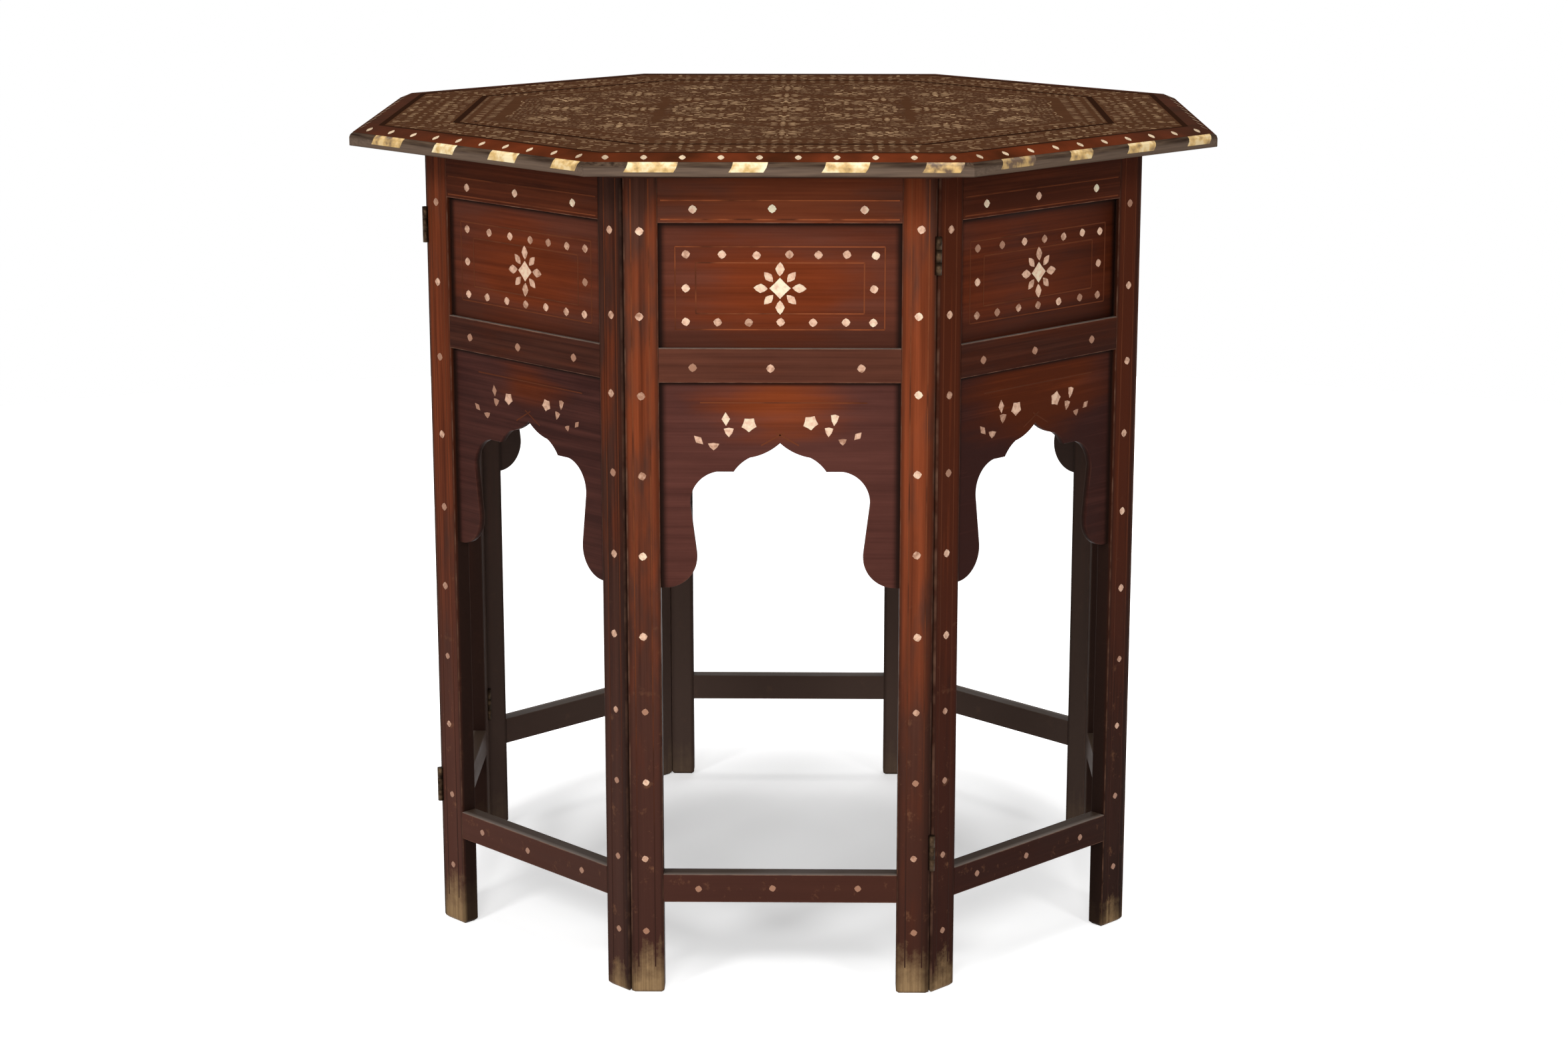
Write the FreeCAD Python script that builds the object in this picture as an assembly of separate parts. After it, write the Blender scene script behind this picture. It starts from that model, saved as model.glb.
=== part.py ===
import FreeCAD, Part
import math
import os

Vec = FreeCAD.Vector

# Octagonal folding table: eight framed panels hinged into a ring, and a lift-off inlaid top.
# Millimetres, +Z up, origin on the floor at the table's axis, front panel facing -Y.

# Base as a whole
base_height = 588.0
panel_width = 215.0          # outer face of one panel, corner edge to corner edge
panel_count = 8
frame_thickness = 13.0
mitre_gap = 0.3              # daylight between the bevelled edges of neighbouring panels
fit_clearance = 0.1          # joiner's clearance round tenons and panel edges

# Stiles and rails of one panel
stile_width = 24.5
top_rail_height = 32.0
frieze_height = 86.0         # sight height of the upper panel
mid_rail_height = 24.0
bottom_rail_height = 21.0
bottom_rail_lift = 69.0      # floor to the underside of the bottom rail
tenon_length = 12.0
tenon_shoulder = 6.0         # rail edge to tenon edge
corner_bevel = 1.2           # small bevel along the outer corner edge of every stile
foot_ease = 2.2              # eased lower end of every stile

# Sunk panels
panel_thickness = 5.0
panel_recess = 3.5           # outer face of the frame to the face of a sunk panel
groove_depth = 5.0
panel_edge_room = 0.3        # room for a panel to swell, beside it and above it

# Cusped arch cut in the lower panel
apex_drop = 43.0             # underside of the mid rail to the point of the arch
crown_drop = 20.2            # point of the arch to the level of the cusps
crown_turn_drop = 10.2       # point of the arch to the turn of its ogee
crown_turn_share = 0.65      # place of that turn, as a share of the cusp's distance from the middle
crown_hollow = 1.7           # how hollow the upper stretch of the ogee is
crown_swell = 1.0            # how full the lower stretch of the ogee is
cusp_run = 30.0              # cusp to the widest place of the lobe, measured across
cusp_flat = 11.7             # level stretch outside the cusp
lobe_drop = 24.6             # cusp level to the widest place of the lobe
lobe_leg = 21.0              # width of the panel's leg beside the lobe
waist_leg = 25.4             # width of the panel's leg at the waist
waist_drop = 36.2            # widest place of the lobe to the waist
flare_radius = 22.0          # round of the leg's end, from the waist down to its tip

# Butt hinges, two to a corner, alternately on the outside and on the inside
hinge_length = 26.0
upper_hinge_drop = 54.0      # top of the base to the middle of the upper hinge
lower_hinge_lift = 107.0     # floor to the middle of the lower hinge
barrel_radius = 2.2
barrel_stand = 0.6           # corner edge to the hinge axis
leaf_width = 11.0
leaf_thickness = 1.2
pin_radius = 1.0
pin_clearance = 0.06         # between the pin and the knuckle that turns on it
knuckle_gap = 0.2            # end gap between knuckles
barrel_relief = 0.4          # room round the barrel
barrel_sides = 8             # round bars this small are drawn as many-sided ones
pin_sides = 6

# Lift-off top
top_across_flats = 621.0
board_thickness = 10.0
edging_width = 12.0
edging_round = 2.5
round_flats = 2              # the small round along the edge is drawn with this many flats
block_lengths = [33.0, 23.0, 29.0, 25.0]  # bone blocks let into each side of the edging
block_shift = 12.0           # the row of blocks sits this far off the middle of its side
block_height = 7.0
block_depth = 5.0
block_lean = 3.0             # how far the ends of a block lean over its height
underframe_thickness = 9.0
underframe_overhang = 21.0   # face of the base to the edge of the frame that bears on it
underframe_width = 60.0
underframe_fillet = 2.0      # upright stretch above the cove
cove_reach = 9.0
batten_width = 40.0
batten_spread = 140.0        # between the middles of the two battens
screws_per_batten = 3
screw_end_inset = 40.0       # end of a batten to the middle of its last screw
screw_head_radius = 3.6
screw_head_depth = 2.6
screw_shank_radius = 1.6
screw_length = 15.0

panel_names = ["front", "front_right", "right", "back_right", "back", "back_left", "left", "front_left"]

# Derived places
turn = 360.0 / panel_count
half_turn = math.radians(turn / 2)
half_width = panel_width / 2
apothem = half_width / math.tan(half_turn)
stile_inner = half_width - stile_width
top_rail_z = base_height - top_rail_height
mid_rail_top = top_rail_z - frieze_height
mid_rail_z = mid_rail_top - mid_rail_height
panel_back = panel_recess + panel_thickness
panel_half = stile_inner + groove_depth - panel_edge_room
hinge_levels = [base_height - upper_hinge_drop, lower_hinge_lift]
top_underside = base_height + underframe_thickness
top_surface = top_underside + board_thickness
top_apothem = top_across_flats / 2
overrun = 1.0                # how far a cutting shape runs past the piece it cuts
arc_share = math.sqrt(0.5)   # place of a quarter arc's middle, as a share of its radius


def block(x0, x1, y0, y1, z0, z1):
    return Part.makeBox(x1 - x0, y1 - y0, z1 - z0, Vec(x0, y0, z0))


def prism(corners, z0, z1):
    wire = Part.makePolygon([Vec(x, y, z0) for x, y in corners + corners[:1]])
    return Part.Face(wire).extrude(Vec(0, 0, z1 - z0))


def ring_points(radius, sides):
    angles = [2 * math.pi * (step + 0.5) / sides for step in range(sides)]
    return [(radius * math.cos(angle), radius * math.sin(angle)) for angle in angles]


def bar(radius, sides, z0, z1):
    """Many-sided bar that turns freely inside a circle of this radius."""
    return prism(ring_points(radius, sides), z0, z1)


def bore(radius, sides, z0, z1):
    """Many-sided hole that clears a circle of this radius."""
    return prism(ring_points(radius / math.cos(math.pi / sides), sides), z0, z1)


def mirrored(shape):
    return shape.mirror(Vec(0, 0, 0), Vec(1, 0, 0))


def turned(shape, step):
    copy = shape.copy()
    copy.rotate(Vec(0, 0, 0), Vec(0, 0, 1), step * turn)
    return copy


def write(name, solids):
    shape = solids[0] if len(solids) == 1 else Part.makeCompound(solids)
    shape.exportStep("parts/" + name + ".step")


# Hinges are drawn about their own axis: x runs from the axis into the joint, y into the wood.
def knuckle_spans(outer):
    third = hinge_length / 3
    middle = (-third / 2, third / 2)
    lower = (-hinge_length / 2, -third / 2 - knuckle_gap)
    upper = (third / 2 + knuckle_gap, hinge_length / 2)
    return [lower, upper] if outer else [middle]


def hinge_leaf(outer, wood):
    """Leaf with two outer knuckles, which hold the pin, or with the middle one, which turns on it."""
    near = wood * mitre_gap / 2
    far = wood * (mitre_gap / 2 + leaf_thickness)
    leaf = block(0, leaf_width, min(near, far), max(near, far), -hinge_length / 2, hinge_length / 2)
    for low, high in knuckle_spans(not outer):
        room = bore(barrel_radius + barrel_relief, barrel_sides, low - knuckle_gap, high + knuckle_gap)
        leaf = leaf.cut(room)
    for low, high in knuckle_spans(outer):
        leaf = leaf.fuse(bar(barrel_radius, barrel_sides, low, high))
    if outer:
        pin_hole = bar(pin_radius, pin_sides, -hinge_length, hinge_length)
    else:
        pin_hole = bore(pin_radius + pin_clearance, pin_sides, -hinge_length, hinge_length)
    return leaf.cut(pin_hole).removeSplitter()


def hinge_pin():
    return bar(pin_radius, pin_sides, -hinge_length / 2, hinge_length / 2)


def hinge_gain(wood):
    far = wood * (mitre_gap / 2 + leaf_thickness)
    seat = block(0, leaf_width, min(0, far), max(0, far), -hinge_length / 2, hinge_length / 2)
    reach = hinge_length / 2 + knuckle_gap
    return seat.fuse(bore(barrel_radius + barrel_relief, barrel_sides, -reach, reach))


def at_right_corner(shape, outside, level):
    placed = shape.copy()
    inner_reach = frame_thickness / math.cos(half_turn)
    radial = barrel_stand if outside else -inner_reach - barrel_stand
    angle = math.degrees(half_turn) + (90 if outside else -90)
    placed.rotate(Vec(0, 0, 0), Vec(0, 0, 1), angle)
    x = half_width + radial * math.sin(half_turn)
    y = -radial * math.cos(half_turn)
    placed.translate(Vec(x, y, level))
    return placed


def wood_side(outside):
    return 1 if outside else -1


# One panel is drawn with its outer face on y = 0, its middle on x = 0, and the right stile first.
def right_stile(outside_hinge):
    slope = math.tan(half_turn)
    corner = half_width - mitre_gap / 2 / math.cos(half_turn)
    outline = [(stile_inner, 0), (corner, 0), (corner - frame_thickness * slope, frame_thickness)]
    outline.append((stile_inner, frame_thickness))
    stile = prism(outline, 0, base_height)
    lower_edges = [edge for edge in stile.Edges if edge.BoundBox.ZMax < foot_ease / 2]
    stile = stile.makeChamfer(foot_ease, lower_edges)
    bevel = [(corner - corner_bevel, 0), (corner, -corner_bevel), (corner + corner_bevel, 0)]
    bevel.append((corner - corner_bevel * slope, corner_bevel))
    stile = stile.cut(prism(bevel, -overrun, base_height + overrun))
    groove_foot = arch_levels()["tip"]
    groove_head = top_rail_z + groove_depth
    stile = stile.cut(panel_groove(stile_inner, groove_foot, groove_head))
    for low, high in tenon_spans():
        mortise_end = stile_inner + tenon_length + fit_clearance
        stile = stile.cut(
            block(stile_inner, mortise_end, panel_recess - fit_clearance, panel_back + fit_clearance,
                  low - fit_clearance, high + fit_clearance))
    for level in hinge_levels:
        gain = hinge_gain(wood_side(outside_hinge))
        stile = stile.cut(at_right_corner(gain, outside_hinge, level))
    return stile


def panel_groove(edge, z0, z1):
    return block(edge, edge + groove_depth, panel_recess - fit_clearance, panel_back + fit_clearance, z0, z1)


def rail_spans():
    top = (top_rail_z, base_height)
    middle = (mid_rail_z, mid_rail_top)
    bottom = (bottom_rail_lift, bottom_rail_lift + bottom_rail_height)
    return [top, middle, bottom]


def tenon_spans():
    return [(low + tenon_shoulder, high - tenon_shoulder) for low, high in rail_spans()]


def rail(low, high, groove_above, groove_below):
    body = block(-stile_inner, stile_inner, 0, frame_thickness, low, high)
    tenon_half = stile_inner + tenon_length
    tenon = block(-tenon_half, tenon_half, panel_recess, panel_back,
                  low + tenon_shoulder, high - tenon_shoulder)
    body = body.fuse(tenon)
    y0 = panel_recess - fit_clearance
    y1 = panel_back + fit_clearance
    if groove_above:
        body = body.cut(block(-stile_inner, stile_inner, y0, y1, high - groove_depth, high))
    if groove_below:
        body = body.cut(block(-stile_inner, stile_inner, y0, y1, low, low + groove_depth))
    return body.removeSplitter()


def frieze_panel():
    low = mid_rail_top - groove_depth
    high = top_rail_z + groove_depth - panel_edge_room
    return block(-panel_half, panel_half, panel_recess, panel_back, low, high)


def arch_levels():
    levels = {"apex": mid_rail_z - apex_drop}
    levels["cusp"] = levels["apex"] - crown_drop
    levels["lobe"] = levels["cusp"] - lobe_drop
    levels["waist"] = levels["lobe"] - waist_drop
    levels["tip"] = levels["waist"] - flare_radius
    return levels


def face_point(x, z):
    return Vec(x, panel_recess, z)


def on_round(centre, radius, angle):
    return centre + Vec(math.cos(angle), 0, math.sin(angle)) * radius


def bowed(start, end, bulge):
    """Arc from start to end whose middle stands off the chord by bulge, to the left of the way."""
    chord = end - start
    sideways = Vec(-chord.z, 0, chord.x).normalize()
    return Part.Arc(start, (start + end) / 2 + sideways * bulge, end).toShape()


def half_arch():
    """Right half of the arch, from its point down to the stile; the sides run on into the flared ends."""
    straight_down = 1.5 * math.pi
    z = arch_levels()
    lobe_x = stile_inner - lobe_leg
    waist_x = stile_inner - waist_leg
    cusp_x = lobe_x - cusp_run
    apex = face_point(0, z["apex"])
    crown_turn = face_point(cusp_x * crown_turn_share, z["apex"] - crown_turn_drop)
    cusp = face_point(cusp_x, z["cusp"])
    lobe_start = face_point(cusp_x + cusp_flat, z["cusp"])
    lobe = face_point(lobe_x, z["lobe"])
    flare_centre = face_point(waist_x + flare_radius, z["waist"])
    to_lobe = lobe - flare_centre
    side_touches = math.atan2(to_lobe.z, to_lobe.x) + math.acos(flare_radius / to_lobe.Length)
    flare = on_round(flare_centre, flare_radius, side_touches)
    flare_middle = on_round(flare_centre, flare_radius, (side_touches + straight_down) / 2)
    tip = on_round(flare_centre, flare_radius, straight_down)
    lobe_out = (lobe.x - lobe_start.x) * arc_share
    lobe_down = (lobe.z - lobe_start.z) * (1 - arc_share)
    lobe_middle = lobe_start + Vec(lobe_out, 0, lobe_down)
    edges = [
        bowed(apex, crown_turn, -crown_hollow),
        bowed(crown_turn, cusp, crown_swell),
        Part.LineSegment(cusp, lobe_start).toShape(),
        Part.Arc(lobe_start, lobe_middle, lobe).toShape(),
        Part.LineSegment(lobe, flare).toShape(),
        Part.Arc(flare, flare_middle, tip).toShape(),
    ]
    return edges, tip


def arch_panel():
    """Sunk panel with a cusped arch; its legs run out to points against the stiles."""
    z = arch_levels()
    high = mid_rail_z + groove_depth - panel_edge_room
    edges, tip = half_arch()
    rim = [
        tip,
        face_point(panel_half, z["tip"]),
        face_point(panel_half, high),
        face_point(0, high),
        face_point(0, z["apex"]),
    ]
    rim_edges = [Part.LineSegment(a, b).toShape() for a, b in zip(rim, rim[1:])]
    half = Part.Face(Part.Wire(edges + rim_edges)).extrude(Vec(0, panel_thickness, 0))
    return half.fuse(mirrored(half)).removeSplitter()


def panel_pieces(step):
    """All pieces of one panel; the outside hinge sits on the right of every second panel."""
    outside_right = step % 2 == 0
    right_leaves = []
    left_leaves = []
    for level in hinge_levels:
        leaf = hinge_leaf(True, wood_side(outside_right))
        right_leaves.append(at_right_corner(leaf, outside_right, level))
        right_leaves.append(at_right_corner(hinge_pin(), outside_right, level))
        leaf = hinge_leaf(False, wood_side(not outside_right))
        left_leaves.append(mirrored(at_right_corner(leaf, not outside_right, level)))
    top, middle, bottom = rail_spans()
    return {
        "left_stile": [mirrored(right_stile(not outside_right))],
        "right_stile": [right_stile(outside_right)],
        "rails": [rail(*top, False, True), rail(*middle, True, True), rail(*bottom, False, False)],
        "frieze_panel": [frieze_panel()],
        "arch_panel": [arch_panel()],
        "hinges": left_leaves + right_leaves,
    }


# The top is drawn side by side round the axis, each strip cut to its mitre by a wedge.
def octagon(inner_radius, z0, z1):
    return bore(inner_radius, panel_count, z0, z1)


def mitred_strip(section, reach):
    """Strip along the front side: section is a wire in the plane x = 0, y running outwards."""
    half_run = reach * math.tan(half_turn)
    strip = Part.Face(section).extrude(Vec(2 * half_run, 0, 0))
    strip.translate(Vec(-half_run, 0, 0))
    corners = [(0, 0), (-half_run, -reach), (half_run, -reach)]
    wedge = prism(corners, base_height - overrun, top_surface + overrun)
    return strip.common(wedge)


def section_wire(points, arc_after=None, arc_middle=None):
    """Closed wire through points (out, z); the stretch after one point may be an arc."""
    corners = [Vec(0, -out, z) for out, z in points]
    edges = []
    for index, start in enumerate(corners):
        end = corners[(index + 1) % len(corners)]
        if index == arc_after:
            middle = Vec(0, -arc_middle[0], arc_middle[1])
            edges.append(Part.Arc(start, middle, end).toShape())
        else:
            edges.append(Part.LineSegment(start, end).toShape())
    return Part.Wire(edges)


def block_places():
    """Middle and length of every bone block along one side."""
    side = 2 * top_apothem * math.tan(half_turn)
    pitch = side / len(block_lengths)
    middles = [pitch * (index + 0.5) - side / 2 + block_shift for index in range(len(block_lengths))]
    return list(zip(middles, block_lengths))


def plain_edging():
    """Edging of the front side before anything is let into it."""
    inner = top_apothem - edging_width
    points = [(inner, top_surface), (inner, top_underside), (top_apothem, top_underside)]
    for step in range(round_flats + 1):
        angle = math.pi / 2 * step / round_flats
        out = top_apothem - edging_round * (1 - math.cos(angle))
        points.append((out, top_surface - edging_round * (1 - math.sin(angle))))
    return mitred_strip(section_wire(points), top_apothem)


def block_recess(middle, length):
    """Leaning slot that runs out through the face and the upper round of the edging."""
    low = top_surface - block_height
    left = middle - (length + block_lean) / 2
    front = -top_apothem - overrun
    corners = [(left, low), (left + length, low)]
    lean = block_lean * (block_height + overrun) / block_height
    corners += [(x + lean, top_surface + overrun) for x in (left + length, left)]
    outline = [Vec(x, front, z) for x, z in corners + corners[:1]]
    return Part.Face(Part.makePolygon(outline)).extrude(Vec(0, block_depth + overrun, 0))


def edging_blocks():
    edging = plain_edging()
    return [edging.common(block_recess(*place)) for place in block_places()]


def edging_strip():
    strip = plain_edging()
    for place in block_places():
        strip = strip.cut(block_recess(*place))
    return strip


def underframe_edge():
    return apothem + underframe_overhang


def underframe_strip():
    outer = underframe_edge()
    inner = outer - underframe_width
    shoulder = top_underside - underframe_fillet
    lip = outer - cove_reach
    points = [(inner, base_height), (lip, base_height), (outer, shoulder), (outer, top_underside)]
    points.append((inner, top_underside))
    arc_middle = (lip + cove_reach * (1 - arc_share), shoulder - (shoulder - base_height) * (1 - arc_share))
    return mitred_strip(section_wire(points, 1, arc_middle), outer)


def batten_half():
    return underframe_edge() - underframe_width - fit_clearance


def screw_places():
    span = 2 * (batten_half() - screw_end_inset)
    pitch = span / (screws_per_batten - 1)
    rows = [-batten_spread / 2, batten_spread / 2]
    return [(pitch * index - span / 2, y) for y in rows for index in range(screws_per_batten)]


def screw(x, y, room):
    """Countersunk screw, head down and flush with the batten; with room it is the hole for one."""
    head = ring_points(screw_head_radius + room, pin_sides)
    neck = ring_points(screw_shank_radius + room, pin_sides)
    neck_level = base_height + screw_head_depth
    lower = [Vec(out, side, base_height) for out, side in head]
    upper = [Vec(out, side, neck_level) for out, side in neck]
    faces = [Part.Face(Part.makePolygon(ring + ring[:1])) for ring in (lower, upper)]
    for index in range(pin_sides):
        following = (index + 1) % pin_sides
        corners = [lower[index], lower[following], upper[following], upper[index], lower[index]]
        faces.append(Part.Face(Part.makePolygon(corners)))
    cone = Part.Solid(Part.Shell(faces))
    shank = prism(neck, neck_level, base_height + screw_length + room)
    solid = cone.fuse(shank)
    solid.translate(Vec(x, y, 0))
    return solid


def batten(y):
    return block(-batten_half(), batten_half(), y - batten_width / 2, y + batten_width / 2,
                 base_height, top_underside)


def top_pieces():
    board = octagon(top_apothem - edging_width, top_underside, top_surface)
    battens = [batten(-batten_spread / 2), batten(batten_spread / 2)]
    screws = []
    for x, y in screw_places():
        driven = screw(x, y, 0)
        board = board.cut(driven)
        clear = screw(x, y, fit_clearance)
        battens = [piece.cut(clear) for piece in battens]
        screws.append(driven)
    sides = range(panel_count)
    blocks = edging_blocks()
    return {
        "top_board": [board],
        "top_edging": [turned(edging_strip(), step) for step in sides],
        "edging_blocks": [turned(piece, step) for step in sides for piece in blocks],
        "top_underframe": [turned(underframe_strip(), step) for step in sides],
        "top_battens": battens,
        "batten_screws": screws,
    }


os.makedirs("parts", exist_ok=True)
drawn = [panel_pieces(0), panel_pieces(1)]
for step, panel in enumerate(panel_names):
    for piece, solids in drawn[step % 2].items():
        placed = []
        for solid in solids:
            solid = solid.copy()
            solid.translate(Vec(0, -apothem, 0))
            placed.append(turned(solid, step))
        write(panel + "_panel_" + piece, placed)
for piece, solids in top_pieces().items():
    write(piece, solids)
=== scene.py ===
import bmesh
import bpy
import math
import random
from mathutils import Matrix, Vector


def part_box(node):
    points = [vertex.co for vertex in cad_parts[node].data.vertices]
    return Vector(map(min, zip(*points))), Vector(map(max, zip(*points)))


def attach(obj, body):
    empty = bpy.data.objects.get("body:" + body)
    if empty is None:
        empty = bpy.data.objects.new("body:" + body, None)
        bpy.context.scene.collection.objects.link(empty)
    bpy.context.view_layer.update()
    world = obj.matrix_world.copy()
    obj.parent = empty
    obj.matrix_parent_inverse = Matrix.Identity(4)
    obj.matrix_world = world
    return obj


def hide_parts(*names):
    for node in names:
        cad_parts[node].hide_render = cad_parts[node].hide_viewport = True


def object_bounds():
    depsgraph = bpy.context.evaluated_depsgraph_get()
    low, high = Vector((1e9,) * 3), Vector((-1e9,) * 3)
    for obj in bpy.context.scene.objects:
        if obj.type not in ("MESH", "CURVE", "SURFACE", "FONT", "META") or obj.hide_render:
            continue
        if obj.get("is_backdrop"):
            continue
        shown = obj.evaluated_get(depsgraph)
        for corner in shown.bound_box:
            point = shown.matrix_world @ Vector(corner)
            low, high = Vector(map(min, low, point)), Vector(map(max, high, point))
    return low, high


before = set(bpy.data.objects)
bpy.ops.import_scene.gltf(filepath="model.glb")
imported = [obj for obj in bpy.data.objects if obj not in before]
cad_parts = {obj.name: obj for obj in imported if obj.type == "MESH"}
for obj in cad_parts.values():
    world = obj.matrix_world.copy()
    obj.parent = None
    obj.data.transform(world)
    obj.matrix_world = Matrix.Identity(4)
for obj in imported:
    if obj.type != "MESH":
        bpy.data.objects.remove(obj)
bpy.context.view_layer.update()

# Stiles: two uprights to each of the eight framed panels, of dark stained sheesham, full height, planed and
# mitred along the corner edge. They are polished on the show side, raw inside, where they are also darkened
# as painted shade, and rubbed pale at the feet.
panel_names = ["front", "front_right", "right", "back_right", "back", "back_left", "left", "front_left"]
panel_depth = -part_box("front_panel_rails")[0].y
base_half = 0.26
frame_thickness = 0.013
stile_middle = 0.0953
stile_arris = 0.0007
shortest_arris = 0.012
mitre_reach = 0.0016
face_slack = 0.0005
kicked_foot = 0.05
kicked_head = 0.43
chance = random.Random(11)
in_colour = {"data_type": "RGBA"}
eased = {"interpolation_type": "SMOOTHSTEP"}


def panel_place(step):
    """From a panel drawn upright with its show face on y = 0 to its place in the ring."""
    return Matrix.Rotation(math.radians(45 * step), 4, "Z") @ Matrix.Translation((0, -panel_depth, 0))


def linear(hex_colour):
    """An sRGB hex colour as the linear one that a shader takes."""
    channels = [int(hex_colour[i:i + 2], 16) / 255 for i in (1, 3, 5)]
    return tuple(c / 12.92 if c <= 0.04045 else ((c + 0.055) / 1.055) ** 2.4 for c in channels) + (1.0,)


def add_node(tree, kind, settings, sockets, output=0, stops=()):
    """Adds one shader node and hands on one output. A socket is given a plain value or the output that feeds
    it. A Mix of colours takes them at sockets 6 and 7 and has its result at output 2."""
    made = tree.nodes.new(kind)
    for name, value in settings.items():
        setattr(made, name, value)
    for name, value in sockets.items():
        if isinstance(value, bpy.types.NodeSocket):
            tree.links.new(value, made.inputs[name])
        else:
            made.inputs[name].default_value = value
    if stops:
        band = made.color_ramp.elements
        while len(band) < len(stops):
            band.new(1.0)
        for stop, (share, colour) in zip(band, stops):
            stop.position = share
            stop.color = colour
    return made.outputs[output]


def new_material(name, roughness, gloss):
    """A material to build on, and the sockets of its shader."""
    material = bpy.data.materials.new(name)
    material.use_nodes = True
    shader = material.node_tree.nodes["Principled BSDF"].inputs
    shader["Roughness"].default_value = roughness
    shader["Specular IOR Level"].default_value = gloss
    return material, shader


def finished(shape, name, material):
    """Turns a worked shape into an object at the origin, with its place in its mesh."""
    mesh = bpy.data.meshes.new(name)
    shape.to_mesh(mesh)
    shape.free()
    mesh.materials.append(material)
    piece = bpy.data.objects.new(name, mesh)
    bpy.context.scene.collection.objects.link(piece)
    return piece


def merged_copy(node):
    """A copy of one cut piece, its loose triangles joined to whole faces."""
    shape = bmesh.new()
    shape.from_mesh(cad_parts[node].data)
    bmesh.ops.remove_doubles(shape, verts=shape.verts, dist=1e-6)
    bmesh.ops.dissolve_limit(shape, angle_limit=math.radians(1), verts=shape.verts, edges=shape.edges)
    return shape


def wooden_piece(node, place_of, along, material, arris=0.0, is_arris=None, tone=0.0, soil=0.0, arris_paleness=1.0,
                 bare=0.0):
    """A copy of one cut piece with its arrises eased; its own place, grain, wear, painted shade and the
    paleness of its arrises, partly a painted highlight, are kept on the mesh.
    """
    shape = merged_copy(node)
    rubbed_and_lit = shape.faces.layers.float.new("rubbed_and_lit")
    grain = shape.verts.layers.float_vector.new("grain")
    place = shape.verts.layers.float_vector.new("place")
    wear = [(shape.verts.layers.float.new(name), amount)
            for name, amount in (("tone", tone), ("soil", soil), ("bare", bare))]
    arrises = []
    for edge in shape.edges:
        if is_arris and edge.is_manifold and edge.calc_face_angle() > math.radians(25):
            ends = [place_of(v.co) for v in edge.verts]
            if is_arris(ends[0], ends[1], edge):
                arrises.append(edge)
    worn = bmesh.ops.bevel(shape, geom=arrises, offset=arris, offset_type="OFFSET", segments=2, profile=0.5,
                           affect="EDGES", clamp_overlap=False, material=-1)
    # The eased arrises are marked pale: rubbed, and a painted highlight.
    for face in worn["faces"]:
        face[rubbed_and_lit] = arris_paleness
    start = Vector((chance.uniform(0, 9), chance.uniform(0, 9), 0))
    for corner in shape.verts:
        local = place_of(corner.co)
        corner[place] = local
        run = (local.x, local.z) if along == "across" else (local.z, local.x)
        corner[grain] = Vector((run[0], run[1], local.y)) + start
        for layer, amount in wear:
            corner[layer] = amount
    piece = finished(shape, node + "_wood", material)
    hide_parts(node)
    return piece


def grain_pattern(tree, grain, size, sockets):
    """Noise drawn out along the grain; size is the length, width and depth of its spots in metres."""
    drawn_out = add_node(tree, "ShaderNodeMapping", {}, {
        "Vector": grain, "Scale": [1 / span for span in size]})
    return add_node(tree, "ShaderNodeTexNoise", {}, {"Vector": drawn_out, "Scale": 1.0, **sockets})


def polish_and_grain(tree, kept, middle_colour, rim_colour, glow_middle, glow_size, mottle, figure):
    """Stain under old polish: redder in the middle, darker and purplish towards the rims,
    and streaked along the grain."""
    # The polish lies in clouds 70 mm long and 14 mm wide, which also break up the edge of the redder middle.
    clouds = grain_pattern(tree, kept["grain"], (0.07, 0.014, 0.014), {"Detail": 3.0, "Roughness": 0.55})
    span = [1 / size if size else 0.0 for size in glow_size]
    shift = [-middle * share for middle, share in zip(glow_middle, span)]
    centred = add_node(tree, "ShaderNodeMapping", {}, {
        "Vector": kept["place"], "Location": shift, "Scale": span})
    reach = add_node(tree, "ShaderNodeVectorMath", {"operation": "LENGTH"}, {0: centred}, "Value")
    ragged = add_node(tree, "ShaderNodeMath", {"operation": "MULTIPLY_ADD"}, {0: clouds, 1: mottle, 2: reach})
    ragged = add_node(tree, "ShaderNodeMath", {"operation": "ADD"}, {0: ragged, 1: kept["soil"]})
    rim = add_node(tree, "ShaderNodeMapRange", eased, {
        "Value": ragged, "From Min": mottle / 2 + 0.2, "From Max": mottle / 2 + 1.1})
    ground = add_node(tree, "ShaderNodeMix", in_colour, {
        "Factor": rim, 6: linear(middle_colour), 7: linear(rim_colour)}, 2)

    # Streaks are 5 mm wide and 260 mm long; the finer ones, 1.4 mm, are drawn coarser than pores to show.
    streak = grain_pattern(tree, kept["grain"], (0.26, 0.005, 0.012), {"Detail": 4.0, "Distortion": 0.35})
    pores = grain_pattern(tree, kept["grain"], (0.07, 0.0014, 0.004), {"Detail": 3.0})
    lines = kept["tone"]
    for pattern, share in ((pores, 0.3 * figure), (streak, 0.7 * figure), (clouds, 0.3)):
        lines = add_node(tree, "ShaderNodeMath", {"operation": "MULTIPLY_ADD"}, {
            0: pattern, 1: share, 2: lines})
    calm = (1 - figure) / 2
    depth = add_node(tree, "ShaderNodeValToRGB", {}, {"Fac": lines}, stops=[
        (0.35 - calm, (0.36, 0.33, 0.33, 1)), (0.95 - calm, (1.62, 1.55, 1.45, 1))])
    kept.update(clouds=clouds, streak=streak, pores=pores)
    return add_node(tree, "ShaderNodeMix", {"data_type": "RGBA", "blend_type": "MULTIPLY"}, {
        "Factor": 1.0, 6: ground, 7: depth}, 2)


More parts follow.
